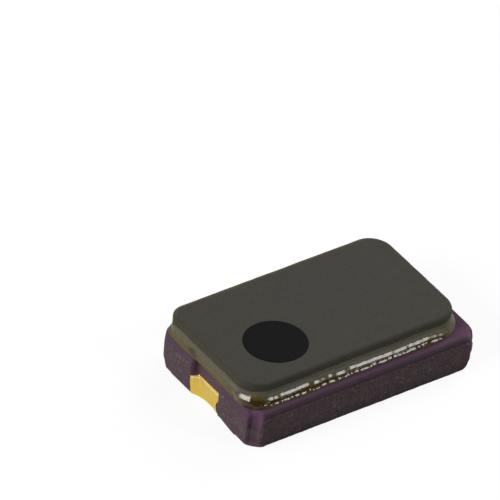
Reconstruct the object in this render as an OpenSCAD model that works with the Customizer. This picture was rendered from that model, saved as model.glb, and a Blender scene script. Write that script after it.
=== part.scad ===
// Surface mount quartz crystal in a two-terminal ceramic package.
// A ceramic tray of two fired layers holds a quartz strip by one end, and a
// ceramic lid is sealed on with glass. Two gold-plated pads wrap up the short sides.
// Millimetres, +Z up. The origin is the centre of the plane of the solder pads.

/* [Ceramic base] */
// Length over the broken faces of the flanks
base_l = 5.0; // [4.6:0.05:6]
// Width over the broken faces of the flanks
base_w = 3.18; // [3:0.01:4]
// Thickness of the lower ceramic layer, the floor
lower_layer_t = 0.39; // [0.3:0.01:0.6]
// Thickness of the upper ceramic layer, the wall round the cavity
upper_layer_t = 0.37; // [0.36:0.01:0.6]
// How far the bottom edge stands back from the flank
bottom_bevel_in = 0.06; // [0.02:0.01:0.12]
// Height of the bevel that the lower scoring cut leaves
bottom_bevel_h = 0.25; // [0.05:0.01:0.28]
// How far the top edge stands back on the long sides
side_bevel_in = 0.13; // [0.05:0.01:0.16]
// Height of the upper bevel on the long sides
side_bevel_h = 0.11; // [0.05:0.01:0.25]
// How far the top edge stands back on the short sides
end_bevel_in = 0.05; // [0.03:0.01:0.07]
// Height of the upper bevel on the short sides
end_bevel_h = 0.24; // [0.05:0.01:0.26]
// How far the slanting cut across each corner reaches along either side
corner_cut = 0.22; // [0.15:0.01:0.3]
// Radius of the round notch in the middle of each corner's cut
notch_r = 0.09; // [0.05:0.01:0.12]
// Misfit of the upper layer on the lower one, seen at the corner notches
layer_shift = 0.03; // [0:0.01:0.05]

/* [Cavity] */
// Thickness of the wall at the short sides
end_wall_t = 0.5; // [0.45:0.01:0.7]
// Thickness of the wall at the long sides
side_wall_t = 0.5; // [0.42:0.01:0.6]
// Radius of the cavity's upright corners
cavity_r = 0.2; // [0.05:0.01:0.3]

/* [Terminals] */
// Length of a solder pad along the part
pad_l = 1.25; // [0.9:0.05:1.5]
// Width of a solder pad across the part
pad_w = 2.0; // [1.4:0.05:2.4]
// Thickness of the plated film
pad_t = 0.02; // [0.01:0.005:0.04]
// How far the printed pads sit off centre along the part
print_shift = 0.065; // [0:0.005:0.1]
// Width of the recess in a short side
recess_w = 0.86; // [0.7:0.01:1.6]
// Depth of the recess from the flank
recess_d = 0.16; // [0.14:0.01:0.26]
// Radius of the recess's two inner corners
recess_r = 0.1; // [0.05:0.01:0.13]

/* [Inner tracks] */
// Thickness of a printed track
track_t = 0.02; // [0.01:0.005:0.03]
// Width of a track where it passes under the wall
stem_w = 0.3; // [0.15:0.01:0.34]
// Width of a track on the cavity floor
lane_w = 0.2; // [0.1:0.01:0.22]
// Gap between a track and the foot of the wall
lane_gap = 0.03; // [0.02:0.005:0.05]
// Length of a mounting pad under the strip
mount_pad_l = 0.58; // [0.5:0.01:0.75]
// Width of a mounting pad under the strip
mount_pad_w = 0.7; // [0.5:0.01:0.8]

/* [Quartz strip] */
// Thickness of the quartz strip
blank_t = 0.14; // [0.08:0.005:0.16]
// Gap between the held end and the end wall
held_gap = 0.2; // [0.12:0.01:0.24]
// Gap between the free end and the end wall
free_gap = 0.5; // [0.4:0.05:0.8]
// Gap between a long edge and the side wall
side_gap = 0.25; // [0.15:0.01:0.3]
// Length of the bevel ground on the free end
grind_l = 0.3; // [0.1:0.05:0.5]
// Depth of the bevel ground on the free end
grind_h = 0.03; // [0.01:0.005:0.035]
// Bare quartz between a silver electrode and either end
bare_end = 0.8; // [0.7:0.05:1.2]
// Bare quartz between a silver electrode and either long edge
bare_edge = 0.25; // [0.1:0.05:0.35]
// Thickness of the silver film
film_t = 0.01; // [0.005:0.005:0.02]
// Width of the lead from an electrode to the held end
lead_w = 0.42; // [0.34:0.01:0.5]
// Length of the upper lead's foot on the underside
foot_l = 0.38; // [0.36:0.01:0.4]

/* [Adhesive and support] */
// Thickness of an adhesive joint
adhesive_t = 0.05; // [0.03:0.01:0.06]
// Radius of an adhesive joint
adhesive_r = 0.16; // [0.1:0.01:0.18]
// Distance of the joints from the held end
adhesive_in = 0.19; // [0.18:0.01:0.2]
// Distance of a joint's centre from the strip's long edge
adhesive_edge = 0.25; // [0.22:0.01:0.3]
// Height of the pillow under the free end
pillow_t = 0.03; // [0.02:0.005:0.04]
// Length of the pillow along the part
pillow_l = 0.25; // [0.1:0.05:0.4]
// Width of the pillow across the part
pillow_w = 1.1; // [0.6:0.05:1.3]
// Distance of the pillow from the free end
pillow_in = 0.1; // [0.02:0.02:0.3]

/* [Lid and glass seal] */
// Thickness of the lid
lid_t = 0.39; // [0.3:0.01:0.5]
// Length of bare base beyond the lid, shared between the two short sides
lid_end_gap = 0.33; // [0.26:0.01:0.5]
// Width of bare base beyond the lid at either long side
lid_side_gap = 0.25; // [0.2:0.01:0.34]
// How far the lid sits off centre along the part
lid_shift = 0.09; // [0:0.01:0.1]
// Radius of the lid's upright corners
lid_corner_r = 0.4; // [0.36:0.01:0.6]
// Radius of the lid's top edge
lid_edge_r = 0.06; // [0.03:0.01:0.15]
// Thickness of the glass between the base and the lid
seal_t = 0.05; // [0.03:0.01:0.08]
// How far below the lid's rounded edge the glass stops
glass_stop = 0.05; // [0.01:0.005:0.1]
// Width of the glass fillet at its foot
glass_foot_w = 0.13; // [0.08:0.01:0.16]
// Gap between the foot of the glass and the base's top edge
glass_edge_gap = 0.005; // [0.005:0.005:0.01]
// Gap between the glass and the edge of the cavity
glass_mouth_gap = 0.03; // [0.01:0.01:0.06]
// Hollowness of the glass fillet: 1 bulges, 2 is hollow
glass_sag = 1.2; // [1:0.1:2]

/* [Marking] */
// Diameter of the printed dot on the lid
dot_d = 1.2; // [0.4:0.05:1.4]
// Thickness of the ink
ink_t = 0.01; // [0.005:0.005:0.02]
// Distance from the lid's left side to the centre of the dot
dot_from_left = 1.19; // [0.9:0.01:1.4]
// Distance from the lid's front side to the centre of the dot
dot_from_front = 0.96; // [0.9:0.01:1.3]

/* [Hidden] */
$fn = 48;

// Levels, counted up from the plane of the solder pads
layer_z = pad_t + lower_layer_t;
base_top_z = layer_z + upper_layer_t;
track_top_z = layer_z + track_t;
film_z = track_top_z + adhesive_t;
blank_z = film_z + film_t;
lid_z = base_top_z + seal_t;
lid_top_z = lid_z + lid_t;

// Half sizes and reaches of the base
foot_half_l = base_l / 2 - bottom_bevel_in;
recess_x = base_l / 2 - recess_d;
cavity_l = base_l - 2 * end_wall_t;
cavity_w = base_w - 2 * side_wall_t;

// Tracks on the cavity floor: lanes run along the walls
lane_x = cavity_l / 2 - lane_gap;
lane_y = cavity_w / 2 - lane_gap;

// The strip, from its held end to its free end
held_x = held_gap - cavity_l / 2;
free_x = cavity_l / 2 - free_gap;
blank_w = cavity_w - 2 * side_gap;
joint_x = held_x + adhesive_in;
joint_y = blank_w / 2 - adhesive_edge;
electrode_x = [held_x + bare_end, free_x - bare_end];
electrode_y = blank_w / 2 - bare_edge;
blank_top_z = blank_z + blank_t;

// Lid, and the glass round it
lid_l = base_l - lid_end_gap;
lid_w = base_w - 2 * lid_side_gap;
seat_at_end = end_wall_t - lid_end_gap / 2 - lid_shift;
glass_seat = min(seat_at_end, side_wall_t - lid_side_gap) - glass_mouth_gap;
glass_climb = seal_t + lid_t - lid_edge_r - glass_stop;
glass_steps = 8;

// Cuts run this far past the faces that they open
over = 0.1;

// A block between two x values and two y values, from level z upwards
module slab(x, y, z, t) {
    translate([x[0], y[0], z]) cube([x[1] - x[0], y[1] - y[0], t]);
}

// ---- Ceramic base ----

// Upright section of the tray: bevelled where the sheet was scored, and
// straight where the part was broken off its neighbours
module flank_section(width, top_in, top_h) {
    h = width / 2;
    polygon([
        [bottom_bevel_in - h, pad_t], [h - bottom_bevel_in, pad_t],
        [h, pad_t + bottom_bevel_h], [h, base_top_z - top_h],
        [h - top_in, base_top_z], [top_in - h, base_top_z],
        [-h, base_top_z - top_h], [-h, pad_t + bottom_bevel_h]
    ]);
}

module base_block() {
    intersection() {
        rotate([90, 0, 90]) linear_extrude(base_l, center = true)
            flank_section(base_w, side_bevel_in, side_bevel_h);
        rotate([90, 0, 0]) linear_extrude(base_w, center = true)
            flank_section(base_l, end_bevel_in, end_bevel_h);
    }
}

// Plan of the recess in the left side, as left open by a lining of this thickness
module recess_plan(lining = 0) {
    depth = recess_d + over - lining;
    half_w = recess_w / 2 - lining;
    r = recess_r - lining;
    translate([-base_l / 2 - over, 0]) {
        translate([0, -half_w]) square([depth - r, 2 * half_w]);
        translate([0, r - half_w]) square([depth, 2 * (half_w - r)]);
        for (side = [-1, 1]) translate([depth - r, side * (half_w - r)]) circle(r);
    }
}

// Slanting cuts across the four corners, through both layers
module corner_cuts() {
    for (x = [-1, 1], y = [-1, 1])
        translate([x * base_l / 2, y * base_w / 2, -over])
            cylinder(r = corner_cut, h = base_top_z + 2 * over, $fn = 4);
}

// Round notches in the middle of the corner cuts, through one layer of the ceramic
module corner_notches(z, t, shift) {
    in = corner_cut / 2;
    for (x = [-1, 1], y = [-1, 1])
        translate([x * (base_l / 2 - in) + shift, y * (base_w / 2 - in) + shift, z])
            cylinder(r = notch_r, h = t);
}

module cavity() {
    x = cavity_l / 2 - cavity_r;
    y = cavity_w / 2 - cavity_r;
    depth = upper_layer_t + over;
    slab([-x, x], [-cavity_w / 2, cavity_w / 2], layer_z, depth);
    slab([-cavity_l / 2, cavity_l / 2], [-y, y], layer_z, depth);
    for (i = [-1, 1], j = [-1, 1])
        translate([i * x, j * y, layer_z]) cylinder(r = cavity_r, h = depth);
}

module ceramic_base() {
    color("#5a4556")
    difference() {
        base_block();
        for (side = [0, 1]) mirror([side, 0, 0])
            linear_extrude(base_top_z + over) recess_plan();
        corner_cuts();
        corner_notches(-over, layer_z + over, 0);
        corner_notches(layer_z, upper_layer_t + over, layer_shift);
        cavity();
        left_track_film();
        right_track_film();
    }
}

// ---- Gold-plated terminals ----

// Solder pad under the left end, with the plating up the lower layer's recess
module terminal_film(length) {
    difference() {
        slab([-foot_half_l, length - foot_half_l], [-pad_w / 2, pad_w / 2], 0, pad_t);
        translate([0, 0, -over]) linear_extrude(pad_t + 2 * over) recess_plan(pad_t);
    }
    intersection() {
        base_block();
        linear_extrude(track_top_z) difference() {
            recess_plan();
            recess_plan(pad_t);
        }
    }
}

module left_terminal() {
    color("#d7c070") terminal_film(pad_l + print_shift);
}

module right_terminal() {
    color("#d7c070") mirror([1, 0, 0]) terminal_film(pad_l - print_shift);
}

// ---- Printed tracks between the layers and on the cavity floor ----

// Pad under one adhesive joint, between two y values
module mount_pad(y) {
    slab([-lane_x, mount_pad_l - lane_x], y, layer_z, track_t);
}

module left_track_film() {
    slab([-recess_x, lane_w - lane_x], [-stem_w / 2, stem_w / 2], layer_z, track_t);
    slab([-lane_x, lane_w - lane_x], [-stem_w / 2, joint_y], layer_z, track_t);
    mount_pad([joint_y - mount_pad_w / 2, joint_y + mount_pad_w / 2]);
}

module right_track_film() {
    slab([lane_x - lane_w, recess_x], [-stem_w / 2, stem_w / 2], layer_z, track_t);
    slab([lane_x - lane_w, lane_x], [-lane_y, stem_w / 2], layer_z, track_t);
    slab([-lane_x, lane_x], [-lane_y, lane_w - lane_y], layer_z, track_t);
    mount_pad([-lane_y, mount_pad_w / 2 - joint_y]);
}

module left_inner_track() {
    color("#cdb35e") left_track_film();
}

module right_inner_track() {
    color("#cdb35e") right_track_film();
}

module free_end_pillow() {
    end = free_x - pillow_in;
    color("#cdb35e")
        slab([end - pillow_l, end], [-pillow_w / 2, pillow_w / 2], layer_z, pillow_t);
}

// ---- Quartz strip, its electrodes and its joints ----

// Bead of silver-filled adhesive, squeezed flat, on the line y
module adhesive_joint(y) {
    bulge = adhesive_t / 2;
    translate([joint_x, y, track_top_z]) rotate_extrude() {
        square([adhesive_r - bulge, adhesive_t]);
        intersection() {
            translate([adhesive_r - bulge, bulge]) circle(bulge);
            square([adhesive_r, adhesive_t]);
        }
    }
}

module front_adhesive() {
    color("#a9a7a2") adhesive_joint(-joint_y);
}

module rear_adhesive() {
    color("#a9a7a2") adhesive_joint(joint_y);
}

module quartz_blank() {
    color("#dbe6ec")
    translate([0, 0, blank_z]) rotate([90, 0, 0]) linear_extrude(blank_w, center = true)
        polygon([
            [held_x, 0], [free_x - grind_l, 0], [free_x, grind_h],
            [free_x, blank_t - grind_h], [free_x - grind_l, blank_t], [held_x, blank_t]
        ]);
}

// Silver film on one face at level z, with its lead along the line y
module electrode_film(y, z, lead_start) {
    slab(electrode_x, [-electrode_y, electrode_y], z, film_t);
    slab([lead_start, electrode_x[0] + lead_w], [y - lead_w / 2, y + lead_w / 2], z, film_t);
}

// The upper lead wraps round the held end to a foot on the underside
module upper_electrode() {
    lead_y = [joint_y - lead_w / 2, joint_y + lead_w / 2];
    color("#c9ccd0") {
        electrode_film(joint_y, blank_top_z, held_x - film_t);
        slab([held_x - film_t, held_x], lead_y, film_z, blank_t + 2 * film_t);
        slab([held_x - film_t, held_x + foot_l], lead_y, film_z, film_t);
    }
}

module lower_electrode() {
    color("#c9ccd0") electrode_film(-joint_y, film_z, held_x);
}

// ---- Lid and glass seal ----

// Sweeps an upright section round the lid's plan. The section's x is counted
// outwards from the centre of a lid corner.
module round_lid() {
    x = lid_l / 2 - lid_corner_r;
    y = lid_w / 2 - lid_corner_r;
    for (turn = [0, 180]) rotate(turn) {
        translate([x, y, 0]) rotate_extrude(angle = 90) children();
        translate([-x, y, 0]) rotate(90) rotate_extrude(angle = 90) children();
        translate([x, 0, 0]) rotate([90, 0, 0]) linear_extrude(2 * y, center = true) children();
        translate([0, y, 0]) rotate([90, 0, 90]) linear_extrude(2 * x, center = true) children();
    }
}

// Reach of the glass beyond the lid's side; t runs from 0 at its foot to 1 at its lip
function glass_reach(t) = glass_foot_w * pow(cos(90 * t), glass_sag);

module glass_section() {
    r = lid_corner_r;
    polygon(concat(
        [[r - glass_seat, base_top_z]],
        [for (i = [0 : glass_steps])
            [r + glass_reach(i / glass_steps), base_top_z + glass_climb * i / glass_steps]],
        [[r, lid_z], [r - glass_seat, lid_z]]
    ));
}

// Molten glass stops at the base's top edge and at the recesses, so it stands
// upright at the short side that the lid has moved towards
module sealing_glass() {
    edge_x = base_l / 2 - end_bevel_in - glass_edge_gap;
    edge_y = base_w / 2 - side_bevel_in - glass_edge_gap;
    color("#6b6440") difference() {
        intersection() {
            translate([-lid_shift, 0, 0]) round_lid() glass_section();
            slab([-edge_x, edge_x], [-edge_y, edge_y], base_top_z, glass_climb);
        }
        for (side = [0, 1]) mirror([side, 0, 0])
            translate([0, 0, layer_z]) linear_extrude(lid_z - layer_z)
                recess_plan(-glass_edge_gap);
    }
}

module ceramic_lid() {
    inner = lid_corner_r - lid_edge_r;
    color("#46443e") translate([-lid_shift, 0, lid_z]) {
        round_lid() {
            square([inner, lid_t]);
            square([lid_corner_r, lid_t - lid_edge_r]);
            translate([inner, lid_t - lid_edge_r]) circle(lid_edge_r);
        }
        slab([lid_corner_r - lid_l / 2, lid_l / 2 - lid_corner_r],
            [lid_corner_r - lid_w / 2, lid_w / 2 - lid_corner_r], 0, lid_t);
    }
}

module marking_dot() {
    x = dot_from_left - lid_l / 2 - lid_shift;
    y = dot_from_front - lid_w / 2;
    color("#1e1e1e") translate([x, y, lid_top_z]) cylinder(d = dot_d, h = ink_t);
}

ceramic_base();
left_terminal();
right_terminal();
left_inner_track();
right_inner_track();
free_end_pillow();
front_adhesive();
rear_adhesive();
quartz_blank();
upper_electrode();
lower_electrode();
sealing_glass();
ceramic_lid();
marking_dot();
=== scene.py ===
"""Dresses a surface mount quartz crystal: purple alumina tray, dark alumina lid,
brown sealing glass and gold-plated terminals. Lengths are in millimetres until a
mesh is written; x runs along the part, y across it, z up from the solder pads."""

import math

import bpy
import numpy as np
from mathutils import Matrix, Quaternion, Vector, noise


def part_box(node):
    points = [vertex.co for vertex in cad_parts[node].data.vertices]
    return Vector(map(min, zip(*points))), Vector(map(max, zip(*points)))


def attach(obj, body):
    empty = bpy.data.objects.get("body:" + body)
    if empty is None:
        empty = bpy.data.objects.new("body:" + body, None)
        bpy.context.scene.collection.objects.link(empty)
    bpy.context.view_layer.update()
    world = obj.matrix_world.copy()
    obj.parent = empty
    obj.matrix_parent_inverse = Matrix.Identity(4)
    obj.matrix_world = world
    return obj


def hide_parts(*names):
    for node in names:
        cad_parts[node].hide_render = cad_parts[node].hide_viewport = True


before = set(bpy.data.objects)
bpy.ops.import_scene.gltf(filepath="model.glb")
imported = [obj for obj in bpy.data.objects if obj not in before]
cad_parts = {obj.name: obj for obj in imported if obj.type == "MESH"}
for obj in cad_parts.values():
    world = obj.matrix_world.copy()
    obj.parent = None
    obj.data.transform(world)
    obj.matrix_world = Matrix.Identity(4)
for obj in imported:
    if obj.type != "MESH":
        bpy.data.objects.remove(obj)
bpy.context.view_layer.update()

MM = 0.001


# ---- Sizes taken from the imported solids, and those of the forms between them ----

def extent(node):
    """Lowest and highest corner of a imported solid, in millimetres."""
    low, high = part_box(node)
    return np.array(low) / MM, np.array(high) / MM


tray_low, tray_high = extent("ceramic_base")
lid_low, lid_high = extent("ceramic_lid")
glass_low, glass_high = extent("sealing_glass")

# Tray
HALF_L, HALF_W = tray_high[0], tray_high[1]
SHEET_Z = extent("left_inner_track")[1][2]   # where the upper of the two fired sheets begins
SHEET_STEP = 0.014              # height over which one sheet's outline turns into the other's
SHEET_SHIFT = 0.03              # misfit of the upper sheet's cuts
BOTTOM_BEVEL = (0.042, 0.25)    # how far in and how high the scoring cut reaches
SIDE_BEVEL = (0.12, 0.10)       # the same for the rounding at the top of the long sides
END_BEVEL = (0.05, 0.24)        # and at the top of the short sides
BOTTOM_EDGE_R = 0.008           # rounding of the bottom edges
SCORE_Z = tray_high[2] - 0.09   # root of the upper scoring cut, above the snapped band
CAVITY_WALL = 0.5               # from the tray's side to the cavity's
CAVITY_HALF_L, CAVITY_HALF_W = HALF_L - CAVITY_WALL, HALF_W - CAVITY_WALL
CAVITY_R = 0.2
# Cut across each corner: its reach along x and along y, how far it swells between its
# ends, where its groove sits (0 at the short side, 1 at the long side) and how deep it is
CORNERS = {(-1, -1): (0.22, 0.22, 0.022, 0.45, 0.05), (1, -1): (0.21, 0.21, 0.022, 0.5, 0.05),
           (1, 1): (0.24, 0.24, 0.022, 0.5, 0.05), (-1, 1): (0.47, 0.37, 0.055, 0.6, 0.03)}
RIGHT_CORNER_FLARE = 0.06       # how much further the right ones reach along x at the pads
GROOVE_HALF_W = 0.14            # half the width of a corner's groove
GROOVE_FLAT = 0.04              # half the width of its flat bottom
GROOVE_END = 0.09               # it fades out over this height above the pads
# Recess in each short side, from its front edge to its back edge
RECESS_Y = (-0.46, 0.385)
RECESS_D = 0.16
RECESS_R = 0.10                 # rounding of its inner corners at the lid side
RECESS_CHEEK = 0.035            # how far its cheeks lean before that rounding begins
RECESS_SWEEP = (0.32, 0.38)     # reach of its arc at the pads, from the front and the back edge
RECESS_LEAN = (0.055, 0.10)     # how far its front edge leans outward, over which height
# Its front edge is worn at the pads: how deep, how high and from where on the short side
WORN_D, WORN_H, WORN_Y = 0.05, 0.16, -1.02

# Lid and glass
LID_X = (lid_low[0] + lid_high[0]) / 2 - 0.01
LID_HALF_L = (lid_high[0] - lid_low[0]) / 2 - 0.01
LID_HALF_W = lid_high[1]
LID_CORNERS = (0.5, 0.45, 0.30, 0.46)   # front right, back right, back left, front left
LID_CORNER_R = 0.45             # about their mean, for the number of mesh points
LID_EDGE_R = 0.06
GLASS_SEAT = 0.215              # width of the glass under the lid

# Gold
PLATING_T = 0.02
PAD_EDGE = 0.022                # width of the soft edge of the film
PAD_ACROSS, PAD_ALONG = 120, 48     # mesh points between those edges

STEP = 0.016                    # spacing of mesh points on what shows


# ---- Mesh helpers ----

def ripple(points, size, seed, detail=2):
    """Smooth noise of about this feature size at each point, from -1 to 1. Each seed
    gives a pattern of its own."""
    offset = Vector((seed * 7.3, seed * 3.1, seed * 5.7))
    values = [noise.fractal(Vector(p) / size + offset, 0.6, 2.1, detail) for p in points]
    return np.array(values)


def at_height(plan, z):
    """Points of a plan at this height."""
    return np.column_stack([plan, np.broadcast_to(z, len(plan))])


def ramp(values, start, end):
    """0 before start, 1 after end and an even slope between; start may be the larger."""
    return np.clip((values - start) / (end - start), 0, 1)


def outward(loop):
    """Unit normals in plan of a closed loop that runs counter-clockwise."""
    along = np.roll(loop, -1, axis=0) - np.roll(loop, 1, axis=0)
    normal = np.column_stack([along[:, 1], -along[:, 0]])
    return normal / np.maximum(np.linalg.norm(normal, axis=1, keepdims=True), 1e-9)


def soften(values, width):
    """Moving average round a closed ring, so that a change has no hard edge."""
    if width < 1:
        return values
    kernel = np.hanning(width * 2 + 3)[1:-1]
    kernel /= kernel.sum()
    padded = np.concatenate([values[-width:], values, values[:width]], axis=0)
    if values.ndim == 1:
        return np.convolve(padded, kernel, "valid")
    return np.column_stack([np.convolve(c, kernel, "valid") for c in padded.T])


def skin_faces(rings, count, closed_rings=False):
    """Quads between neighbouring rings of the same number of points."""
    faces = []
    for k in range(rings if closed_rings else rings - 1):
        a, b = k * count, (k + 1) % rings * count
        for i in range(count):
            j = (i + 1) % count
            faces.append((a + i, a + j, b + j, b + i))
    return faces


def capped_faces(rings, count):
    """The same, closed with a flat face at both ends."""
    return skin_faces(rings, count) + [tuple(range(count - 1, -1, -1)),
                                       tuple(range((rings - 1) * count, rings * count))]


def band_faces(rings, count):
    """Faces round a band whose rings are open lines, closed at both of its sides."""
    round_it = [f[::-1] for f in skin_faces(rings, count, True) if f[1] - f[0] == 1]
    near, far = ([k * count + i for k in range(rings)] for i in (0, count - 1))
    return round_it + [tuple(near), tuple(far[::-1])]


def piece(name, points, faces, material, replaced, masks=None):
    """A smooth mesh piece from points in millimetres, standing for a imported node."""
    mesh = bpy.data.meshes.new(name)
    mesh.from_pydata((np.asarray(points, float) * MM).tolist(), [], faces)
    for mask_name, values in (masks or {}).items():
        layer = mesh.attributes.new(mask_name, "FLOAT", "POINT")
        layer.data.foreach_set("value", np.asarray(values, np.float32))
    mesh.shade_smooth()
    mesh.materials.append(material)
    made = bpy.data.objects.new(name, mesh)
    bpy.context.scene.collection.objects.link(made)
    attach(made, "root")
    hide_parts(replaced)


def arc(centre, radius, start, end, count):
    """Points on an arc, without the last one."""
    turn = np.radians(np.linspace(start, end, count, endpoint=False))
    return np.column_stack([centre[0] + radius * np.cos(turn),
                            centre[1] + radius * np.sin(turn)])


def line(start, end, count):
    """Points on a straight stretch, without the last one."""
    share = np.linspace(0, 1, count, endpoint=False)[:, None]
    return np.array(start) * (1 - share) + np.array(end) * share


def lid_plan(margin, density=1.0):
    """Counter-clockwise outline of the lid less a margin, from its front left. A density
    above 1 puts its mesh points that many times closer together."""
    half_l, half_w = LID_HALF_L - margin, LID_HALF_W - margin
    along = round(density * 2 * (LID_HALF_L - LID_CORNER_R) / STEP)
    across = round(density * 2 * (LID_HALF_W - LID_CORNER_R) / STEP)
    turning = round(density * LID_CORNER_R * math.pi / 2 / STEP)
    radii = [max(radius - margin, 0.1) for radius in LID_CORNERS]
    centres = [np.array([x_sign * (half_l - radius), y_sign * (half_w - radius)])
               for (x_sign, y_sign), radius in zip(((1, -1), (1, 1), (-1, 1), (-1, -1)), radii)]
    # Front, right, back and left side: the way each faces, and its number of points
    sides = (((0, -1), along), ((1, 0), across), ((0, 1), along), ((-1, 0), across))
    stretches = []
    for k, (facing, count) in enumerate(sides):
        start = centres[k - 1] + radii[k - 1] * np.array(facing)
        end = centres[k] + radii[k] * np.array(facing)
        stretches += [line(start, end, count),
                      arc(centres[k], radii[k], 90 * (k - 1), 90 * k, turning)]
    return np.vstack(stretches) + [LID_X, 0]


# ---- Materials ----

def srgb(code):
    """Linear colour of an sRGB hex value."""
    parts = [int(code[i:i + 2], 16) / 255 for i in (1, 3, 5)]
    return (*[c / 12.92 if c <= 0.04045 else ((c + 0.055) / 1.055) ** 2.4 for c in parts], 1)


def add(tree, kind, inputs=None, **settings):
    """Adds a node with its own settings, and values or links for its inputs."""
    made = tree.nodes.new("ShaderNode" + kind)
    for name, value in settings.items():
        setattr(made, name, value)
    for socket, value in (inputs or {}).items():
        if isinstance(value, bpy.types.NodeSocket):
            tree.links.new(value, made.inputs[socket])
        else:
            made.inputs[socket].default_value = value
    return made


def blank_material(name):
    """A material with no nodes yet, and the place of each point on the part."""
    material = bpy.data.materials.new(name)
    material.use_nodes = True
    material.node_tree.nodes.clear()
    place = add(material.node_tree, "TexCoord").outputs["Object"]
    return material, material.node_tree, place


def per_mm(size):
    """Scale of a pattern whose features are this many millimetres wide."""
    return 1 / (size * MM)


def cloud(tree, place, size, detail=2.0, roughness=0.5):
    """Noise with features of this size in millimetres."""
    return add(tree, "TexNoise", {"Vector": place, "Scale": per_mm(size), "Detail": detail,
                                  "Roughness": roughness}).outputs["Fac"]


def mask(tree, name):
    """Value painted on the mesh under this name."""
    return add(tree, "Attribute", attribute_name=name).outputs["Fac"]


def blend(tree, share, first, second):
    """Mix of two colours; each is a hex value or a socket."""
    first, second = (srgb(c) if isinstance(c, str) else c for c in (first, second))
    return add(tree, "Mix", {0: share, 6: first, 7: second}, data_type="RGBA").outputs[2]


def rescale(tree, value, low, high, start=0.0, end=1.0):
    """Value brought from the range start to end into the range low to high."""
    return add(tree, "MapRange", {"Value": value, "From Min": start, "From Max": end,
                                  "To Min": low, "To Max": high}).outputs["Result"]


def relief(tree, height, depth, strength=1.0):
    """Normal of a surface whose height varies by this many millimetres."""
    return add(tree, "Bump", {"Height": height, "Strength": strength,
                              "Distance": depth * MM}).outputs["Normal"]


def finish(tree, inputs):
    """Closes a material with its principled surface."""
    surface = add(tree, "BsdfPrincipled", inputs)
    add(tree, "OutputMaterial", {"Surface": surface.outputs[0]})


def fired_purple_alumina():
    """Chromium-tinted alumina, fired in two sheets. Sintered skin is smooth and shows
    its purple; where it was snapped off its neighbours the grain is rough and greyer."""
    material, tree, place = blank_material("fired_purple_alumina")
    broken = mask(tree, "broken")
    # Grains are about 0.004 mm; drawn ten times coarser, so that they show
    grain = cloud(tree, place, 0.04, 3.0, 0.65)
    # The skin's tone drifts over about a third of a millimetre
    skin = blend(tree, cloud(tree, place, 0.35), "#56444f", "#5c4855")
    crystal = blend(tree, rescale(tree, grain, 0, 1, 0.36, 0.66), "#453a3b", "#69585d")
    body = blend(tree, broken, skin, crystal)
    # Painted glints: bright facets of single crystals in the snapped faces, 0.005 mm across,
    # drawn ten times coarser
    facet = add(tree, "TexVoronoi", {"Vector": place, "Scale": per_mm(0.05)}).outputs["Color"]
    facet = add(tree, "SeparateColor", {"Color": facet}).outputs["Red"]
    painted_glint = add(tree, "Math", {0: rescale(tree, facet, 0, 0.35, 0.93), 1: broken},
                operation="MULTIPLY").outputs[0]
    body = blend(tree, painted_glint, body, "#968b92")
    # Purple is strongest on the fired edges, painted stronger at the right end as painted light;
    # dust of the scoring cut and painted shade darken its root and foot, and a painted reflection
    # of the gold tints the recess above the gold orange-brown
    body = blend(tree, mask(tree, "rim"), body, "#72406f")
    body = blend(tree, mask(tree, "shade"), body, "#2e1f28")
    body = blend(tree, mask(tree, "painted_gold_glow"), body, "#7d4a2a")
    height = add(tree, "Math", {0: grain, 1: rescale(tree, broken, 0.25, 1.0)},
                 operation="MULTIPLY").outputs[0]
    finish(tree, {"Base Color": body, "Roughness": rescale(tree, broken, 0.68, 0.88),
                  "IOR": 1.76, "Specular IOR Level": 0.1,
                  "Normal": relief(tree, height, 0.012, 0.5)})
    return material


def ground_dark_alumina():
    """Black-brown alumina with a ground, matte face of fine even grain. Its front edge is painted
    darker, partly glass that crept over it and partly painted shade; glass left a thin olive
    film on the other edges."""
    material, tree, place = blank_material("ground_dark_alumina")
    # Grit of 0.01 mm, drawn three and a half times coarser, so that it shows
    grit = cloud(tree, place, 0.035, 2.0, 0.7)
    fine = blend(tree, rescale(tree, grit, 0, 1, 0.3, 0.7), "#2b2922", "#3b3931")
    # Browner patches where the pressed powder packed closer, about 0.16 mm across
    patch = cloud(tree, place, 0.16, 3.0)
    face = blend(tree, rescale(tree, patch, 0, 0.6, 0.4, 0.65), fine, "#332f28")
    body = blend(tree, mask(tree, "filmed"), face, "#524726")
    # Edges painted darker, most at the front: the glass on them and painted shade
    body = blend(tree, mask(tree, "wet_and_shaded"), body, "#24210f")
    finish(tree, {"Base Color": body, "Roughness": 0.8, "IOR": 1.6,
                  "Specular IOR Level": 0.35, "Normal": relief(tree, grit, 0.006, 0.4)})
    return material


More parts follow.
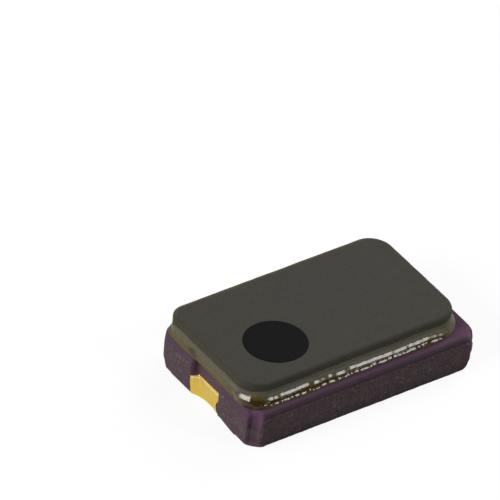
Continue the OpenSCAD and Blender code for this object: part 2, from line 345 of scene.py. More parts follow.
def fused_sealing_glass():
    """Lead-borate sealing glass, melted and set: wet gloss, dark brown where it is
    thick, olive where it thins out over the ceramic and grey as a film on the lid."""
    material, tree, place = blank_material("fused_sealing_glass")
    # Thicker and thinner lumps of 0.18 mm wander through it
    lumps = cloud(tree, place, 0.18, 3.0, 0.6)
    # Darker where the glass is thick, and with painted shade in the crease and on the front
    dark = add(tree, "Math", {0: mask(tree, "depth"),
                              1: rescale(tree, lumps, -0.15, 0.2, 0.25, 0.75)},
               operation="ADD", use_clamp=True).outputs[0]
    body = add(tree, "ValToRGB", {"Fac": dark})
    body.color_ramp.elements[0].color = srgb("#5b5744")
    body.color_ramp.elements[1].color = srgb("#382a06")
    for share, colour in ((0.3, "#615325"), (0.65, "#4b3a12")):
        body.color_ramp.elements.new(share).color = srgb(colour)
    # Undissolved filler grains of 0.01 mm, drawn four times coarser, so that they show
    filler = rescale(tree, cloud(tree, place, 0.04, 3.0, 0.7), 0, 1, 0.35, 0.65)
    body = add(tree, "Mix", {0: 1.0, 6: body.outputs["Color"],
                             7: blend(tree, filler, "#d4d2cc", "#ffffff")},
               data_type="RGBA", blend_type="MULTIPLY").outputs[2]
    finish(tree, {"Base Color": body,
                  "Roughness": rescale(tree, mask(tree, "wet"), 0.6, 0.15),
                  "IOR": 1.8, "Specular IOR Level": 0.2,
                  "Normal": relief(tree, cloud(tree, place, 0.05), 0.004, 0.12)})
    return material


def gold_over_nickel():
    """Gold over nickel over fired tungsten paste: soft satin metal, with the paste's
    grain under it. It thins out to a brown line where the film ends."""
    material, tree, place = blank_material("gold_over_nickel")
    # Paste grain of 0.01 mm, drawn three times coarser, so that it shows
    paste = cloud(tree, place, 0.03, 3.0, 0.6)
    # The plating's tone drifts over about a third of a millimetre
    body = blend(tree, cloud(tree, place, 0.3, 1.0), "#d3b24a", "#dcc05e")
    # Painted highlight: a pale line along the lining's ridge
    body = blend(tree, mask(tree, "painted_ridge_highlight"), body, "#e9d79c")
    body = blend(tree, mask(tree, "brink"), body, "#8f6026")
    finish(tree, {"Base Color": body, "Metallic": 1.0,
                  "Roughness": rescale(tree, paste, 0.3, 0.5),
                  "Normal": relief(tree, paste, 0.004, 0.3)})
    return material


def grained(name, colours, roughness, size, depth, **shader):
    """A plain finish with a fine grain of this size: two tones, and a bump."""
    material, tree, place = blank_material(name)
    grain = cloud(tree, place, size, 3.0)
    inputs = {"Base Color": blend(tree, rescale(tree, grain, 0, 1, 0.35, 0.65), *colours),
              "Roughness": rescale(tree, grain, *roughness),
              "Normal": relief(tree, grain, depth, 0.3)}
    inputs.update({socket.replace("_", " "): value for socket, value in shader.items()})
    finish(tree, inputs)
    return material


def matte_black_ink():
    """Printed ink, dried flat: an even black with next to no shine."""
    # Pigment of 0.001 mm, drawn thirty times coarser, as patches of the film
    return grained("matte_black_ink", ("#0f0f0f", "#131313"), (0.8, 0.9), 0.03, 0.002,
                   Specular_IOR_Level=0.1)


def gold_on_fired_tungsten():
    """Gold over printed and fired tungsten: satin, as the paste's grain stays under it."""
    # Paste grain of 0.01 mm, drawn twice as coarse, so that it shows
    return grained("gold_on_fired_tungsten", ("#c9ab52", "#d9bf70"), (0.35, 0.55), 0.02,
                   0.003, Metallic=1.0)


def silver_filled_adhesive():
    """Silver flakes set in resin: dull grey with faintly brighter specks."""
    # Flakes of 0.005 mm, drawn three times coarser, so that they show
    return grained("silver_filled_adhesive", ("#8f8d88", "#b4b2ac"), (0.5, 0.75), 0.015,
                   0.005, Metallic=0.3)


def lapped_quartz():
    """Quartz ground flat with loose grit: clear, with a faint frosted haze."""
    # Pits of 0.003 mm, drawn three times coarser, so that they show
    return grained("lapped_quartz", ("#d5e0e6", "#e6eef2"), (0.25, 0.4), 0.01, 0.001,
                   IOR=1.54, Transmission_Weight=0.8)


def evaporated_silver():
    """Silver laid down as a vapour: bright, with the haze of the ground quartz under it."""
    # The quartz's pits of 0.003 mm, drawn coarser still, so that they show
    return grained("evaporated_silver", ("#c6c9cc", "#dcdee0"), (0.18, 0.28), 0.02, 0.001,
                   Metallic=1.0)


# ---- Ceramic tray ----

CUT, CUT_AND_BAY = 0.22, 0.65   # what a corner's cut, and it and the recess, take of half a side
# Mesh points on each kind of stretch of the tray's plan: a long side, a corner cut, what
# the recess leaves of a short side, and an inner corner and the back of the recess
COUNTS = {"long": round(2 * (HALF_L - CUT) / STEP), "corner": 26,
          "short": round((HALF_W - CUT_AND_BAY) / STEP), "bend": 14, "back": 36}


def flank_inset(z, top_in, top_h):
    """How far the flank stands back at each height: a slope at the bottom, where it was
    scored, and an even rounding at the top."""
    from_bottom = ramp(z, tray_low[2], tray_low[2] + BOTTOM_BEVEL[1])
    from_top = ramp(z, tray_high[2] - top_h, tray_high[2])
    return (BOTTOM_BEVEL[0] * (1 - from_bottom)
            + top_in * (1 - (1 - from_top ** 1.5) ** (1 / 1.5)))


def half_length(z):
    """Half the tray's length at this height."""
    return HALF_L - flank_inset(z, *END_BEVEL)


def half_width(z):
    """Half the tray's width at this height."""
    return HALF_W - flank_inset(z, *SIDE_BEVEL)


def corner_cut(z, x_sign, y_sign, upper):
    """Slanting cut across one corner at this height, from the short side to the long
    side. The upper sheet's groove is moved by the misfit."""
    half_l, half_w = half_length(z), half_width(z)
    cut_x, cut_y, bulge, seat, depth = CORNERS[x_sign, y_sign]
    grooved = ramp(z, tray_low[2], tray_low[2] + GROOVE_END)
    cut_x += RIGHT_CORNER_FLARE * (1 - grooved) ** 2 * (x_sign > 0)
    length = math.hypot(cut_x, cut_y)
    outside = np.array([x_sign * cut_y, y_sign * cut_x]) / length
    way = np.linspace(0, 1, COUNTS["corner"])
    seat = seat + upper * SHEET_SHIFT * (y_sign - x_sign) / math.sqrt(2) / length
    depth = depth - upper * SHEET_SHIFT * outside.sum()
    across = ramp(abs(way - seat) * length, GROOVE_FLAT, GROOVE_HALF_W)
    groove = grooved * depth * (1 + np.cos(math.pi * across)) / 2
    swell = bulge * 4 * way * (1 - way) - groove
    start = np.array([x_sign * half_l, y_sign * (half_w - cut_y)])
    end = np.array([x_sign * (half_l - cut_x), y_sign * half_w])
    return start + (end - start) * way[:, None] + outside * swell[:, None]


def worn(z, y, edge_y):
    """How much is worn off the short side at the pads, up to the recess's front edge."""
    return WORN_D * ramp(z, WORN_H, 0) * ramp(y, WORN_Y, edge_y) ** 1.5


def recess(z, x_sign, upper=0.0):
    """The recess in one short side at this height, from its front edge to its back
    edge. It has rounded corners at the lid side and melts into one arc at the pads."""
    swept = 1 - ramp(z, tray_low[2], SHEET_Z)
    tight = 1 - swept
    depth = half_length(z) - HALF_L + RECESS_D - x_sign * upper * SHEET_SHIFT / 2
    way = np.linspace(0, 1, COUNTS["bend"], endpoint=False)
    cheek, turn = ramp(way, 0, 0.3), ramp(way, 0.3, 1) * math.pi / 2
    bend = np.array([RECESS_CHEEK * cheek + (RECESS_R - RECESS_CHEEK) * (1 - np.cos(turn)),
                     (depth - RECESS_R) * cheek + RECESS_R * np.sin(turn)])
    sweep = np.array([1 - np.cos(way * math.pi / 2), depth * np.sin(way * math.pi / 2) ** 2])
    front, back = (bend * tight + sweep * [[reach], [1]] * swept for reach in RECESS_SWEEP)
    # The front edge leans outward at mid height; the back edges of both sheets line up
    lean, lean_h = RECESS_LEAN
    start = RECESS_Y[0] - lean * ramp(z, SHEET_Z - lean_h, SHEET_Z)
    end = RECESS_Y[1] - 0.02 * upper
    flat = np.linspace(start + RECESS_R * tight + RECESS_SWEEP[0] * swept,
                       end - RECESS_R * tight - RECESS_SWEEP[1] * swept, COUNTS["back"])
    y = np.concatenate([start + front[0], flat, (end - back[0])[::-1]])
    front_depth = np.maximum(front[1], worn(z, start, start))
    x = half_length(z) - np.concatenate([front_depth, np.full(len(flat), depth),
                                         back[1][::-1]])
    return np.column_stack([x_sign * x, y + upper * SHEET_SHIFT])


def short_side(z, x_sign, upper, front, back):
    """One short side at this height, between the cuts at its front and back corner."""
    bay = recess(z, x_sign, upper)
    edge_x = x_sign * half_length(z)
    near = line(front, (edge_x, bay[0, 1]), COUNTS["short"])
    near[:, 0] -= x_sign * worn(z, near[:, 1], bay[0, 1])
    far = line(back, (edge_x, bay[-1, 1]), COUNTS["short"])
    return np.vstack([near, bay, far[::-1]])


def tray_plan(z):
    """Outline of the tray at one height, counter-clockwise from the front left."""
    upper = ramp(z, SHEET_Z - SHEET_STEP, SHEET_Z)
    front_left, front_right, back_right, back_left = (
        corner_cut(z, x_sign, y_sign, upper)
        for x_sign, y_sign in ((-1, -1), (1, -1), (1, 1), (-1, 1)))
    ring = np.vstack([
        line(front_left[-1], front_right[-1], COUNTS["long"]), front_right[:0:-1],
        short_side(z, 1, upper, front_right[0], back_right[0])[:-1], back_right[:-1],
        line(back_right[-1], back_left[-1], COUNTS["long"]), back_left[:0:-1],
        short_side(z, -1, upper, front_left[0], back_left[0])[:0:-1], front_left[:-1],
    ])
    return soften(ring, 2)


def flank_kinds():
    """For the points of a tray ring: how much each was broken off, and which of them
    lie on the long sides, in the corner grooves and in the recesses."""
    corner, bay = COUNTS["corner"] - 1, 2 * COUNTS["bend"] + COUNTS["back"]
    long_run = ["side"] * COUNTS["long"] + ["corner"] * corner
    short_run = (["end"] * COUNTS["short"] + ["recess"] * bay + ["end"] * (COUNTS["short"] - 1)
                 + ["corner"] * corner)
    kinds = np.array((long_run + short_run) * 2)
    share = {"side": 1.0, "end": 0.75, "corner": 0.2, "recess": 0.0}
    broken = soften(np.array([share[k] for k in kinds]), 4)
    return broken, *(soften((kinds == k).astype(float), 3) for k in ("side", "corner", "recess"))


def mouth_ring(outer):
    """Points round the cavity's mouth, one for each point of the ring outside it."""
    x, y = CAVITY_HALF_L - CAVITY_R, CAVITY_HALF_W - CAVITY_R
    turn = np.unwrap(np.arctan2(outer[:, 1], outer[:, 0]))
    turn = 0.85 * turn + 0.15 * (turn[0] + np.linspace(0, 2 * math.pi, len(outer), endpoint=False))
    ray = np.column_stack([np.cos(turn), np.sin(turn)])
    reach = np.minimum(CAVITY_HALF_L / np.maximum(abs(ray[:, 0]), 1e-9),
                       CAVITY_HALF_W / np.maximum(abs(ray[:, 1]), 1e-9))
    corner = ray * reach[:, None]
    core = np.clip(corner, [-x, -y], [x, y])
    away = corner - core
    size = np.linalg.norm(away, axis=1, keepdims=True)
    return core + away / np.maximum(size, 1e-9) * np.minimum(size, CAVITY_R)


def tray_levels():
    """Height of each ring of the tray, and how far it stands in from the plan there."""
    bottom, top = tray_low[2], tray_high[2]
    levels = [(bottom, margin) for margin in (0.2, 0.1, 0.05)]
    levels += [(bottom + BOTTOM_EDGE_R * (1 - math.cos(b)), BOTTOM_EDGE_R * (1 - math.sin(b)))
               for b in np.radians(np.linspace(0, 90, 5))]
    rise = np.arange(bottom + 0.02, top - SIDE_BEVEL[1] - 0.005, STEP)
    rise = np.sort(np.append(rise, [SHEET_Z - SHEET_STEP, SHEET_Z]))
    rounding = top - SIDE_BEVEL[1] * (1 - np.sin(np.radians(np.linspace(0, 90, 14))))
    levels += [(z, 0.0) for z in np.concatenate([rise, rounding])]
    return levels + [(top, margin) for margin in (0.012, 0.03, 0.06)]


def tray_tints(points, margin, rough, root, root_z, kinds):
    """How much each point of a tray ring shows of the broken grain, of dark dust with painted
    shade, of the painted reflection of the gold and of the purple rim, which is painted
    stronger at the right end as painted light."""
    broken_part, side, corner, bay = kinds
    bottom, top, z = tray_low[2], tray_high[2], points[0, 2]
    # Towards the right end the tray is painted lighter and more purple, as painted light from
    # the right; its corners there keep more of their fired skin
    fired = ramp(points[:, 0], HALF_L - 0.36, HALF_L - 0.18)
    right_corner_purple = fired * ramp(abs(points[:, 1]), HALF_W - 0.45, HALF_W - 0.25)
    # Dust and painted shade lie above the cut's root, less at the right end, and the short
    # sides and corners are darker towards the top; a dark joint marks the seam of the two sheets
    # in the corners, and painted shade darkens the cut's root groove and the foot of the flanks
    # away from the left end
    dust_and_shade = (0.40 + 0.42 * ramp(z, top - 0.008, top - 0.036)) * (1 - 0.7 * fired)
    dust_and_shade = side * dust_and_shade * ramp(z, root_z - 0.02, root_z)
    dust_and_shade += 0.3 * (1 - side) * ramp(z, root_z - 0.08, root_z + 0.06)
    seam = corner * math.exp(-((z - SHEET_Z + 0.01) / 0.012) ** 2)
    # Painted shade: darker towards the bottom of the flanks
    foot = broken_part * ramp(z, bottom + 0.22, bottom) * (margin == 0)
    foot *= ramp(points[:, 0], 0.1 - HALF_L, 0.45 - HALF_L)
    shade = np.clip(0.08 * root + dust_and_shade + 0.6 * seam ** 2 + 0.45 * foot, 0, 1)
    # Painted reflection of the gold: an orange-brown glow on the recess just above it
    painted_gold_glow = 0.6 * bay * math.exp(-((z - SHEET_Z - 0.008) / 0.022) ** 2)
    # Purple shows round the underside, on the upper part of the corners and on the crest; at the
    # right end the crest and corners are painted more purple, as painted light from the right
    skirt = 0.7 * (z == bottom) * ramp(margin, 0.06, 0.02)
    ridge = 0.42 * corner * ramp(z, top - 0.3, top - 0.1)
    crest = (0.12 + 0.08 * side + 0.22 * fired) * ramp(z, top - 0.06, top - 0.01)
    rim = np.maximum(ridge, skirt + crest).clip(0.5 * right_corner_purple, 1)
    return {"broken": rough, "shade": shade, "painted_gold_glow": painted_gold_glow, "rim": rim}


def ceramic_tray(material):
    """Tray of two fired sheets: a skin of rings from the underside up its flanks, over
    the rounded top and down to the cavity's floor."""
    kinds = flank_kinds()
    broken_part, side = kinds[:2]
    rings, tints = [], []
    for z, margin in tray_levels():
        # Rings that stand further in are softened more, so that they don't fold over
        ring = tray_plan(z)
        ring = soften(ring - outward(ring) * margin, round(margin * 60))
        points = at_height(ring, z)
        # The snapped band ends at the upper cut; its border wanders
        wander = 0.015 * ripple(points * [1, 1, 0.3], 0.25, 1)
        root_z = SCORE_Z - 0.03 * (1 - side)
        below = ramp(z + wander, root_z + 0.04, root_z - 0.02)
        rough = broken_part * below * ramp(margin, 0.01, 0)
        push = rough * (0.007 * ripple(points, 0.16, 2, 3) + 0.003 * ripple(points, 0.05, 3, 2))
        push += 0.003 * ripple(points, 0.9, 4, 1) * (margin == 0)
        # The cut's root leaves a shallow groove in the snapped band
        root = np.exp(-((z - root_z) / 0.016) ** 2) * broken_part
        push -= 0.006 * root
        ring = ring + outward(ring) * push[:, None]
        rings.append(at_height(ring, z))
        tints.append(tray_tints(points, margin, rough, root, root_z, kinds))
    mouth = mouth_ring(rings[-1][:, :2])
    for z in (tray_high[2], SHEET_Z):
        rings.append(at_height(mouth, z))
        tints.append(dict.fromkeys(tints[0], np.zeros(len(mouth))))
    masks = {name: np.concatenate([tint[name] for tint in tints]) for name in tints[0]}
    piece("tray", np.vstack(rings), capped_faces(len(rings), len(mouth)), material,
          "ceramic_base", masks)


# ---- Lid ----

def lid_levels():
    """Height of each ring of the lid, and how far it stands in from the outline."""
    bottom, top = lid_low[2], lid_high[2]
    levels = [(bottom, 0.3), (bottom, 0.05), (bottom, 0.01), (bottom + 0.01, 0.0)]
    levels += [(z, 0.0) for z in np.arange(bottom + 0.03, top - LID_EDGE_R, 0.02)]
    levels += [(top - LID_EDGE_R * (1 - math.sin(b)), LID_EDGE_R * (1 - math.cos(b)))
               for b in np.radians(np.linspace(0, 90, 10))]
    return levels + [(top, margin) for margin in (0.07, 0.08, 0.1, 0.13, 0.17, 0.22, 0.3)]


def ceramic_lid(material):
    """Lid plate with a rounded upper edge, over which a little of the glass has crept."""
    top = lid_high[2]
    rings, wet_and_shaded, filmed = [], [], []
    for z, margin in lid_levels():
        ring = lid_plan(margin)
        points = at_height(ring, z)
        # Its outline and edge wander a little, as the blank was tumbled after pressing
        wobble = 0.005 * ripple(points, 0.5, 5) + 0.002 * ripple(points, 0.12, 12)
        wobble *= (margin < 0.1) * ramp(z, top - 0.14, top - 0.08)
        ring = ring + outward(ring) * wobble[:, None]
        rings.append(at_height(ring, z))
        # Glass has crept over the rounded edges; they are painted darker, most at the front and
        # less towards its right end, which is partly that glass and partly painted shade
        front = ramp(ring[:, 1], -LID_HALF_W + 0.35, -LID_HALF_W + 0.1)
        front = front * (1 - 0.7 * ramp(ring[:, 0], 1.85, 2.2))
        creep = 0.062 + 0.012 * ripple(points, 0.3, 6) + 0.008 * ripple(points, 0.08, 17)
        crept = ramp(margin, creep + 0.035, creep - 0.02) * ramp(z, top - 0.15, top - 0.06)
        back = ramp(ring[:, 1], LID_HALF_W - 0.3, LID_HALF_W - 0.1)
        patchy = (0.92 + 0.25 * ripple(points, 0.12, 18)).clip(0, 1)
        wet_and_shaded.append((front * patchy + 0.3 * (1 - front) * (1 - back)) * crept)
        filmed.append((1 - front) * crept * (0.25 + 0.75 * back))
    masks = {"wet_and_shaded": np.concatenate(wet_and_shaded), "filmed": np.concatenate(filmed)}
    piece("lid", np.vstack(rings), capped_faces(len(rings), len(rings[0])), material,
          "ceramic_lid", masks)


# ---- Sealing glass ----

def glass_foot(plan, normal):
    """How far the melt ran out over the tray: widest at the right and the front left,
    hardly at all at the left, where the lid sits close to the tray's edge."""
    front = 0.115 - 0.055 * ramp(plan[:, 0], -1.9, 1.9)
    at_long_sides = np.where(normal[:, 1] < 0, front, 0.10)
    left = 0.036 - 0.018 * ramp(abs(plan[:, 1]), 0.55, 0.35)
    at_short_sides = np.where(normal[:, 0] < 0, left, 0.125)
    return at_long_sides * normal[:, 1] ** 2 + at_short_sides * normal[:, 0] ** 2


# Section of the melt: how far its lower bead falls short of its foot at each height, and
# how far the upper bead and the film over it stand out from the lid
LOWER_BEAD = ((0, 0.006, 0.014, 0.024, 0.050, 0.058, 0.066, 0.08),
              (0, 0.001, 0.004, 0.011, 0.038, 0.056, 0.085, 0.2))
UPPER_BODY = ((0, 0.062, 0.072, 0.084, 0.096, 0.108, 0.120, 0.168, 0.190, 0.220, 0.32),
              (0.020, 0.022, 0.032, 0.052, 0.064, 0.068, 0.066, 0.018, 0.012, 0.008, 0.003))
# Where the melt gathered, at the front left corner, it is one thick bead
POOL = ((0, 0.02, 0.05, 0.08, 0.10, 0.125, 0.195, 0.21, 0.23, 0.26, 0.32),
        (0.080, 0.079, 0.078, 0.077, 0.075, 0.068, 0.012, 0.008, 0.006, 0.005, 0.003))


def melt_along(plan, normal):
    """What changes in the melt from place to place along the lid's outline: sizes in
    millimetres, and shares from 0 to 1."""
    flat = at_height(plan, 0)
    foot = soften(glass_foot(plan, normal), 15)
    # The melt above stands out less where the lid sits close to the tray's edge, least
    # at the back left, where the tray's corner is cut away most
    snug = ramp(-normal[:, 0], 0, 0.3) * ramp(normal[:, 1], 0.02, 0.3)
    body = soften((0.25 + 0.75 * ramp(foot, 0.02, 0.07)) * (1 - 0.7 * snug), 20)
    pooled = soften(ramp(-normal[:, 1], 0.08, 0.34) * ramp(-normal[:, 0], 0.12, 0.45), 12)
    # It set with a flat spot beside the pool, and bulges where it is deepest
    turn = np.degrees(np.arctan2(normal[:, 1], normal[:, 0])) % 360
    flat_spot = turn - 203 + 5 * ripple(flat, 0.12, 15, 1)
    lip = 0.02 * ripple(flat, 0.4, 7) - 0.012 - 0.02 * ramp(-normal[:, 0], 0.3, 0.9)
    at_left = plan[:, 0] < 0
    return {
        "foot": foot * (1 + 0.2 * ripple(flat, 0.2, 8, 2)) - 0.003,
        "body": body,
        "facing": ramp(-normal[:, 1], 0.35, 0.8),
        "thin": 1 - 0.95 * ramp(plan[:, 0], 1.8, 2.0),      # it ran thin round the right end
        "pooled": pooled,
        "deep": ramp(turn, 205, 225),                       # the pool, past its flat spot
        "flat_spot": 0.017 * np.clip(abs(flat_spot) / 16, 0, 1.15) ** 2,
        "bulge": 0.035 * np.exp(-((turn - 238) / 15) ** 2),
        "lip_z": glass_high[2] + lip - 0.05 * snug,
        "sag": 0.024 * ripple(flat, 0.35, 13, 2) * (1 - 0.7 * pooled),
        # A brown lump near the back of the left side
        "knot": np.exp(-((plan[:, 1] - 0.45) / 0.09) ** 2) * at_left,
        # Beside the pool it broke up into small beads
        "beaded": ramp(plan[:, 1], -0.66, -0.80) * ramp(plan[:, 1], -1.10, -0.95) * at_left,
    }


def melt_reach(melt, plan, normal, z, level, share):
    """How far the melt stands out from the lid at this height; share is how far up its
    section that is, and level the height to look up there, which the sag has shifted."""
    low = np.maximum(melt["foot"] - np.interp(level, *LOWER_BEAD), 0)
    high = melt["body"] * np.interp(level, *UPPER_BODY)
    pool = np.interp(level, *POOL) + melt["flat_spot"] * ramp(level, 0.24, 0.2)
    pool += melt["bulge"] * ramp(level, 0.13, 0.06)
    # Of the two beads the one that stands out further shows, with a soft crease between
    beads = (low ** 5 + high ** 5) ** 0.2
    reach = beads * (1 - melt["pooled"]) + pool * melt["pooled"]
    points = np.column_stack([plan + normal * reach[:, None], z])
    lumps = 0.004 * ripple(points, 0.3, 9, 1) + 0.0014 * ripple(points, 0.07, 10, 1)
    lumps *= (1 - 0.3 * melt["pooled"]) * (1 + 1.4 * ramp(level, 0.10, 0.05))
    lumps += 0.004 * melt["beaded"] * ripple(points, 0.07, 21, 1)
    # Lumps fade out towards the foot and the lip
    reach = reach + lumps * melt["body"] * min(1, 5 * share, 3 * (1 - share))
    return np.maximum(reach, 0.002)


def melt_tints(melt, level):
    """How deep and how wet the melt looks at this level of its section. Its depth also holds
    painted shade, darker in the crease between the beads and on the front.
    """
    # Painted shade in the crease between the two beads, and a little on the front
    crease_shade = np.exp(-((level - 0.076) / 0.016) ** 2)
    beads = 0.3 + 0.2 * melt["facing"] + 0.5 * crease_shade * melt["body"]
    depth = (ramp(level, 0.17, 0.11) * melt["thin"] * beads
             + 0.7 * melt["pooled"] * ramp(level, 0.22, 0.14) * melt["deep"]
             + 1.2 * melt["knot"] * np.exp(-((level - 0.10) / 0.06) ** 2))
    front = 0.25 + 0.75 * melt["facing"] * melt["thin"]
    gloss = np.maximum.reduce([front, melt["pooled"], melt["beaded"]])
    gloss *= 1 - 0.9 * melt["pooled"] * ramp(level, 0.07, 0.03)   # dull where it meets the tray
    return depth, gloss * ramp(level, 0.26, 0.19)


def glass_bead(material):
    """Frame of melted glass between tray and lid: two beads one above the other on most
    sides, one thick pool at the front left, and a film that climbs the lid."""
    plan = lid_plan(0, 1.4)
    normal = outward(plan)
    melt = melt_along(plan, normal)
    all_round = np.ones(len(plan))
    start_h, steps = 0.001, 72
    rings, heights, depth, wet = [], [], [], []
    for share in np.linspace(0, 1, steps + 1):
        h = start_h + (melt["lip_z"] - glass_low[2] - start_h) * share
        level = h + melt["sag"] * math.sin(math.pi * share)
        z = glass_low[2] + h
        reach = melt_reach(melt, plan, normal, z, level, share)
        rings.append(plan + normal * reach[:, None])
        heights.append(z)
        for values, tint in zip((depth, wet), melt_tints(melt, level)):
            values.append(tint)
    # Knots of the section are rounded off from ring to ring
    stack = np.array(rings)
    for _ in range(2):
        stack[1:-1] = (stack[:-2] + 2 * stack[1:-1] + stack[2:]) / 4
    # The skin closes over the seat: down the lid's side, under it and back to the foot
    seat, under_lid = plan - normal * GLASS_SEAT, lid_low[2] - 0.001
    rings = [seat, *stack, plan + normal * 0.001, seat]
    heights = [glass_low[2] * all_round, *heights, *[under_lid * all_round] * 2]
    depth, wet = ([all_round, *values, *[all_round] * 2] for values in (depth, wet))
    points = np.vstack([at_height(ring, h) for ring, h in zip(rings, heights)])
    faces = skin_faces(len(rings), len(plan), closed_rings=True)
    piece("glass_bead", points, faces, material, "sealing_glass",
          {"depth": np.concatenate(depth), "wet": np.concatenate(wet)})


# ---- Gold terminals ----

def lining_line(z, gap):
    """The right recess's line at this height, this far off its wall. At the pads it
    dives under the worn front edge."""
    wall = recess(max(z, tray_low[2]), 1)
    # From the 7th to the 11th mesh point behind that edge it comes out of the wall again
    bare = ramp(np.arange(len(wall)), 11, 7) * ramp(z, SHEET_Z - 0.1, tray_low[2])
    gap = gap * (1 - bare) - 0.004 * bare
    along = np.gradient(wall, axis=0)
    off = np.column_stack([along[:, 1], -along[:, 0]])
    off /= np.linalg.norm(off, axis=1, keepdims=True)
    ring = wall + off * np.reshape(gap, (-1, 1))
    lip = np.where(ring[:, 1] < 0, wall[0, 0], wall[-1, 0])
    ring[:, 0] = np.minimum(ring[:, 0], lip + 0.003)
    return ring


def recess_lining(top):
    """Plating of the right recess up to this height: up the wall, over a soft rim and
    down the free face. The upper part of that has a low ridge, where the print of the
    upper sheet was pressed against it."""
    plain = np.zeros(2 * COUNTS["bend"] + COUNTS["back"])
    ridge_z = top - 0.046 + 0.006 * ripple(at_height(recess(top, 1), 0), 0.2, 14)
    section = [(0.002, plain), (top - 0.006, plain), (top - 0.001, plain + 0.25 * PLATING_T),
               (top, plain + 0.6 * PLATING_T)]
    for z in np.concatenate([np.linspace(top - 0.004, 0.016, 46), [0.009, 0.004, 0.001]]):
        round_off = 0.4 * ramp(z, top - 0.006, top) + 0.2 * ramp(z, 0.012, 0) ** 2
        ridge = 0.004 * np.exp(-((z - ridge_z) / 0.022) ** 2)
        section.append((z, PLATING_T * (1 - round_off) + ridge))
    rings = [at_height(lining_line(z, gap), z) for z, gap in section]
    brink = [np.full(len(plain), 0.6 * ramp(z, top - 0.005, top)) for z, _ in section]
    # Painted highlight along the ridge
    painted_ridge_highlight = [0.9 * np.exp(-((z - ridge_z - 0.002) / 0.023) ** 2) for z, _ in section]
    return rings, brink, painted_ridge_highlight


def solder_pad(pad_in, half_w):
    """The right pad, which the recess cuts into: a film with a soft edge. Its mesh
    points are closer together at the edges."""
    pad_out = HALF_L - BOTTOM_BEVEL[0] + 0.005
    bay = lining_line(0, PLATING_T / 2)
    rim = np.array([0, 0.001, 0.003, 0.006, 0.010, 0.014, PAD_EDGE])
    across = half_w - rim
    across = np.concatenate([
        -across, np.linspace(-across[-1], across[-1], PAD_ACROSS + 2)[1:-1], across[::-1]])
    # Where the tray's edge is worn, the film ends a little further in than the wear goes
    outer = np.minimum(np.interp(across, bay[:, 1], bay[:, 0], pad_out, pad_out),
                       pad_out - 1.25 * worn(0, across, bay[0, 1]) * (across <= bay[0, 1]))
    at_recess = (across > bay[0, 1]) & (across < bay[-1, 1])
    slabs, brink = [], []
    for y, x_out, joins_lining in zip(across, outer, at_recess):
        even = np.linspace(pad_in + rim[-1], x_out - rim[-1], PAD_ALONG + 2)[1:-1]
        x = np.concatenate([pad_in + rim, even, x_out - rim[::-1]])
        to_edge = np.minimum(half_w - abs(y), x - pad_in)
        if not joins_lining:
            to_edge = np.minimum(to_edge, x_out - x)
        under = 0.014 * ramp(to_edge, 0.014, 0) ** 2
        slab = np.column_stack([x, np.full(len(x), y), under])
        slabs.append(np.vstack([slab[::-1], slab * [1, 1, 0] + [0, 0, PLATING_T]]))
        thinned = ramp(to_edge, PAD_EDGE, 0.004)
        brink.append(np.concatenate([thinned[::-1], thinned]))
    return slabs, brink


def terminal(side, name, node, material):
    """Solder pad and recess lining of one end; side is -1 on the left, 1 on the right.
    Both are built for the right end; the left one is their mirror image."""
    low, high = extent(node)
    lining, lining_brink, painted_ridge_highlight = recess_lining(high[2])
    pad, pad_brink = solder_pad(low[0] if side > 0 else -high[0], high[1])
    points = np.vstack(lining + pad) * [side, 1, 1]
    start = len(lining) * len(lining[0])
    faces = band_faces(len(lining), len(lining[0]))
    faces += [tuple(start + i for i in face) for face in capped_faces(len(pad), len(pad[0]))]
    if side < 0:
        faces = [face[::-1] for face in faces]
    masks = {"brink": np.concatenate(lining_brink + pad_brink),
             "painted_ridge_highlight": np.concatenate(painted_ridge_highlight + [np.zeros(len(points) - start)])}
    piece(name, points, faces, material, node, masks)


# ---- Marking ----

def ink_dot(material):
    """Printed dot: a disc of ink whose edge is slightly ragged and falls off softly."""
    low, high = extent("marking_dot")
    centre, radius = (low + high) / 2, (high[0] - low[0]) / 2
    count, rag = 240, 0.003
    turn = np.linspace(0, 2 * math.pi, count, endpoint=False)
    circle = np.column_stack([np.cos(turn), np.sin(turn)])
    ragged = rag * ripple(at_height(circle * radius, 0), 0.07, 11)
    rings = []
    # Share of its thickness, and how far it stands in there
    for share, inset in ((0.0, 0.02), (0.0, 0.0), (0.35, 0.002), (0.75, 0.006), (1.0, 0.014),
                         (1.0, 0.06)):
        reach = radius - rag + ragged - inset
        rings.append(at_height(centre[:2] + circle * reach[:, None],
                               low[2] + share * (high[2] - low[2])))
    piece("ink_dot", np.vstack(rings), capped_faces(len(rings), count), material,
          "marking_dot")


# ---- What the sealed package holds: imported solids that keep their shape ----

def dress_inner_parts():
    """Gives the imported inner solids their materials."""
    finishes = {
        gold_on_fired_tungsten: ("left_inner_track", "right_inner_track", "free_end_pillow"),
        silver_filled_adhesive: ("front_adhesive", "rear_adhesive"),
        lapped_quartz: ("quartz_blank",),
        evaporated_silver: ("upper_electrode", "lower_electrode"),
    }
    for finish_maker, nodes in finishes.items():
        material = finish_maker()
        for node in nodes:
            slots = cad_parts[node].data.materials
            slots.clear()
            slots.append(material)


# ---- Studio ----

LAMP_DISTANCE = 200
# Direction of each softbox, its width and height, and what it adds to a white face that
# looks straight at it
SOFTBOXES = {
    "left_softbox": ((-0.85, -0.02, 0.53), (104, 62), 0.76),
    "back_softbox": ((-0.63, 0.60, 0.50), (100, 100), 0.16),
    "far_softbox": ((0.80, 0.25, 0.52), (120, 120), 0.60),
    "right_softbox": ((0.48, -0.62, 0.62), (54, 56), 0.31),
}
WORLD_LEVEL = 0.11              # light from all round
TABLE_LEVEL = 0.89              # white that the table has of its own, under its shadow
TABLE_HALF = 350
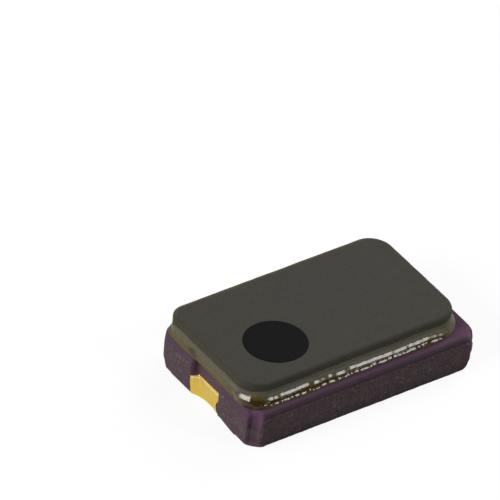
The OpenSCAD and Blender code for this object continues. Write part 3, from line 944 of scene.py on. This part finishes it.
# Camera: where it stands and how it is rolled, in degrees, its distance and its lens, and
# how far right of and above the part's origin it aims
AZIMUTH, ELEVATION, ROLL = -38.603, 38.779, 5.735
CAMERA_DISTANCE, LENS = 146.90, 585.4
AIM = (-1.1659, 2.0147)         # the part stands right of and below the middle of the view


def softbox(name, toward, size, level):
    """Rectangular lamp in this direction."""
    lamp = bpy.data.lights.new(name, "AREA")
    lamp.shape = "RECTANGLE"
    lamp.size, lamp.size_y = size[0] * MM, size[1] * MM
    # Watts that bring a facing white surface at the part to this level
    lamp.energy = level * (math.pi * LAMP_DISTANCE * MM) ** 2
    stand = bpy.data.objects.new(name, lamp)
    bpy.context.scene.collection.objects.link(stand)
    direction = Vector(toward).normalized()
    stand.location = direction * LAMP_DISTANCE * MM
    stand.rotation_mode = "QUATERNION"
    stand.rotation_quaternion = direction.to_track_quat("Z", "Y")


def white_table():
    """Matte table: its board is grey, so that it takes a soft shadow and throws little
    light up at the part. The white over it is its own, and only eyes and mirrors see it."""
    material, tree, place = blank_material("white_table")
    # Cloudy tone a few millimetres across, too faint to be seen as a pattern
    tone = blend(tree, cloud(tree, place, 2.0), "#5d5d5d", "#616161")
    matte = add(tree, "BsdfDiffuse", {"Color": tone}).outputs[0]
    ray = add(tree, "LightPath").outputs
    seen = ray["Is Camera Ray"]
    for kind in ("Is Glossy Ray", "Is Transmission Ray"):
        seen = add(tree, "Math", {0: seen, 1: ray[kind]}, operation="MAXIMUM").outputs[0]
    strength = add(tree, "Math", {0: seen, 1: TABLE_LEVEL}, operation="MULTIPLY").outputs[0]
    own = add(tree, "Emission", {"Strength": strength}).outputs[0]
    both = add(tree, "AddShader", {0: matte, 1: own}).outputs[0]
    add(tree, "OutputMaterial", {"Surface": both})
    return material


def studio_floor():
    """White table, which takes the part's shadow."""
    half = TABLE_HALF * MM
    mesh = bpy.data.meshes.new("floor")
    mesh.from_pydata([(-half, -half, 0), (half, -half, 0), (half, half, 0), (-half, half, 0)],
                     [], [(0, 1, 2, 3)])
    mesh.materials.append(white_table())
    floor = bpy.data.objects.new("floor", mesh)
    bpy.context.scene.collection.objects.link(floor)


def studio_light():
    """Even light from all round, and the four softboxes."""
    world = bpy.data.worlds.new("studio")
    bpy.context.scene.world = world
    world.use_nodes = True
    background = world.node_tree.nodes["Background"].inputs
    background["Color"].default_value = (1, 1, 1, 1)
    background["Strength"].default_value = WORLD_LEVEL
    for name, (toward, size, level) in SOFTBOXES.items():
        softbox(name, toward, size, level)


def studio_camera():
    """Long lens, looking down on the front left corner."""
    azimuth, elevation = math.radians(AZIMUTH), math.radians(ELEVATION)
    back = Vector((math.sin(azimuth) * math.cos(elevation),
                   -math.cos(azimuth) * math.cos(elevation), math.sin(elevation)))
    upright = (-back).to_track_quat("-Z", "Y") @ Quaternion((0, 0, 1), math.radians(ROLL))
    aim = upright @ Vector((*AIM, 0))
    turn = (-back).rotation_difference(aim - back * CAMERA_DISTANCE)
    camera = bpy.data.objects.new("camera", bpy.data.cameras.new("camera"))
    bpy.context.scene.collection.objects.link(camera)
    camera.location = back * CAMERA_DISTANCE * MM
    camera.rotation_mode = "QUATERNION"
    camera.rotation_quaternion = turn @ upright
    camera.data.lens = LENS
    camera.data.clip_start = 0.01
    camera.data.clip_end = 10
    bpy.context.scene.camera = camera
    bpy.context.scene.view_settings.view_transform = "Standard"


ceramic_tray(fired_purple_alumina())
ceramic_lid(ground_dark_alumina())
glass_bead(fused_sealing_glass())
terminal_gold = gold_over_nickel()
terminal(-1, "left_gold_terminal", "left_terminal", terminal_gold)
terminal(1, "right_gold_terminal", "right_terminal", terminal_gold)
ink_dot(matte_black_ink())
dress_inner_parts()
studio_floor()
studio_light()
studio_camera()
